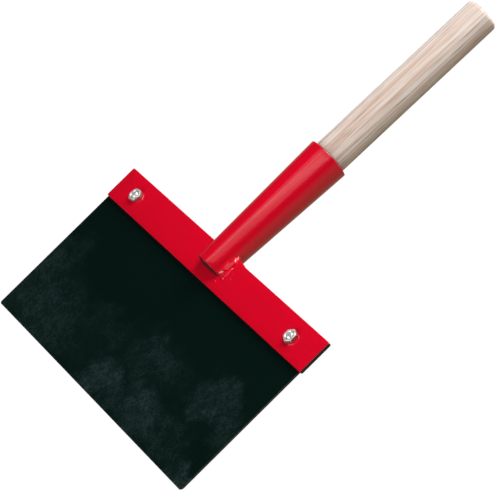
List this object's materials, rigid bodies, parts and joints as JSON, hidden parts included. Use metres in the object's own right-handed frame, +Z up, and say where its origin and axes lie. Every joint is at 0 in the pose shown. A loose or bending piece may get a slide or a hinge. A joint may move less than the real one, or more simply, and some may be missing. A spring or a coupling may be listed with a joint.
{
  "type": "floor scraper",
  "caption": "Push-type floor scraper: a wide spring-steel blade bolted to a flat steel bar, with a welded conical ferrule and a short length of round ash handle.",
  "frame": {"origin": "on the ground plane, halfway between the cutting edge and the handle's end, in the middle of the holder bar's length", "axes": "+X along the blade, +Y from the cutting edge towards the handle's free end, +Z up, out of the side with the nuts; the tool lies on its back, on the blade's back and the ferrule's rim"},
  "size_m": [0.304, 0.4164, 0.0388],
  "materials": {
    "blade_steel": "oil-blackened, satin",
    "red_paint": "gloss",
    "zinc": "bright zinc plate",
    "ash": "sanded, unvarnished"
  },
  "bodies": {
    "root": {"blade": "blade_steel", "holder_bar": "red_paint", "ferrule": "red_paint", "front_welds": "red_paint", "top_welds": "red_paint", "blade_bolts": "zinc", "blade_nuts": "zinc", "handle_screw": "zinc", "handle": "ash"}
  },
  "joints": []
}
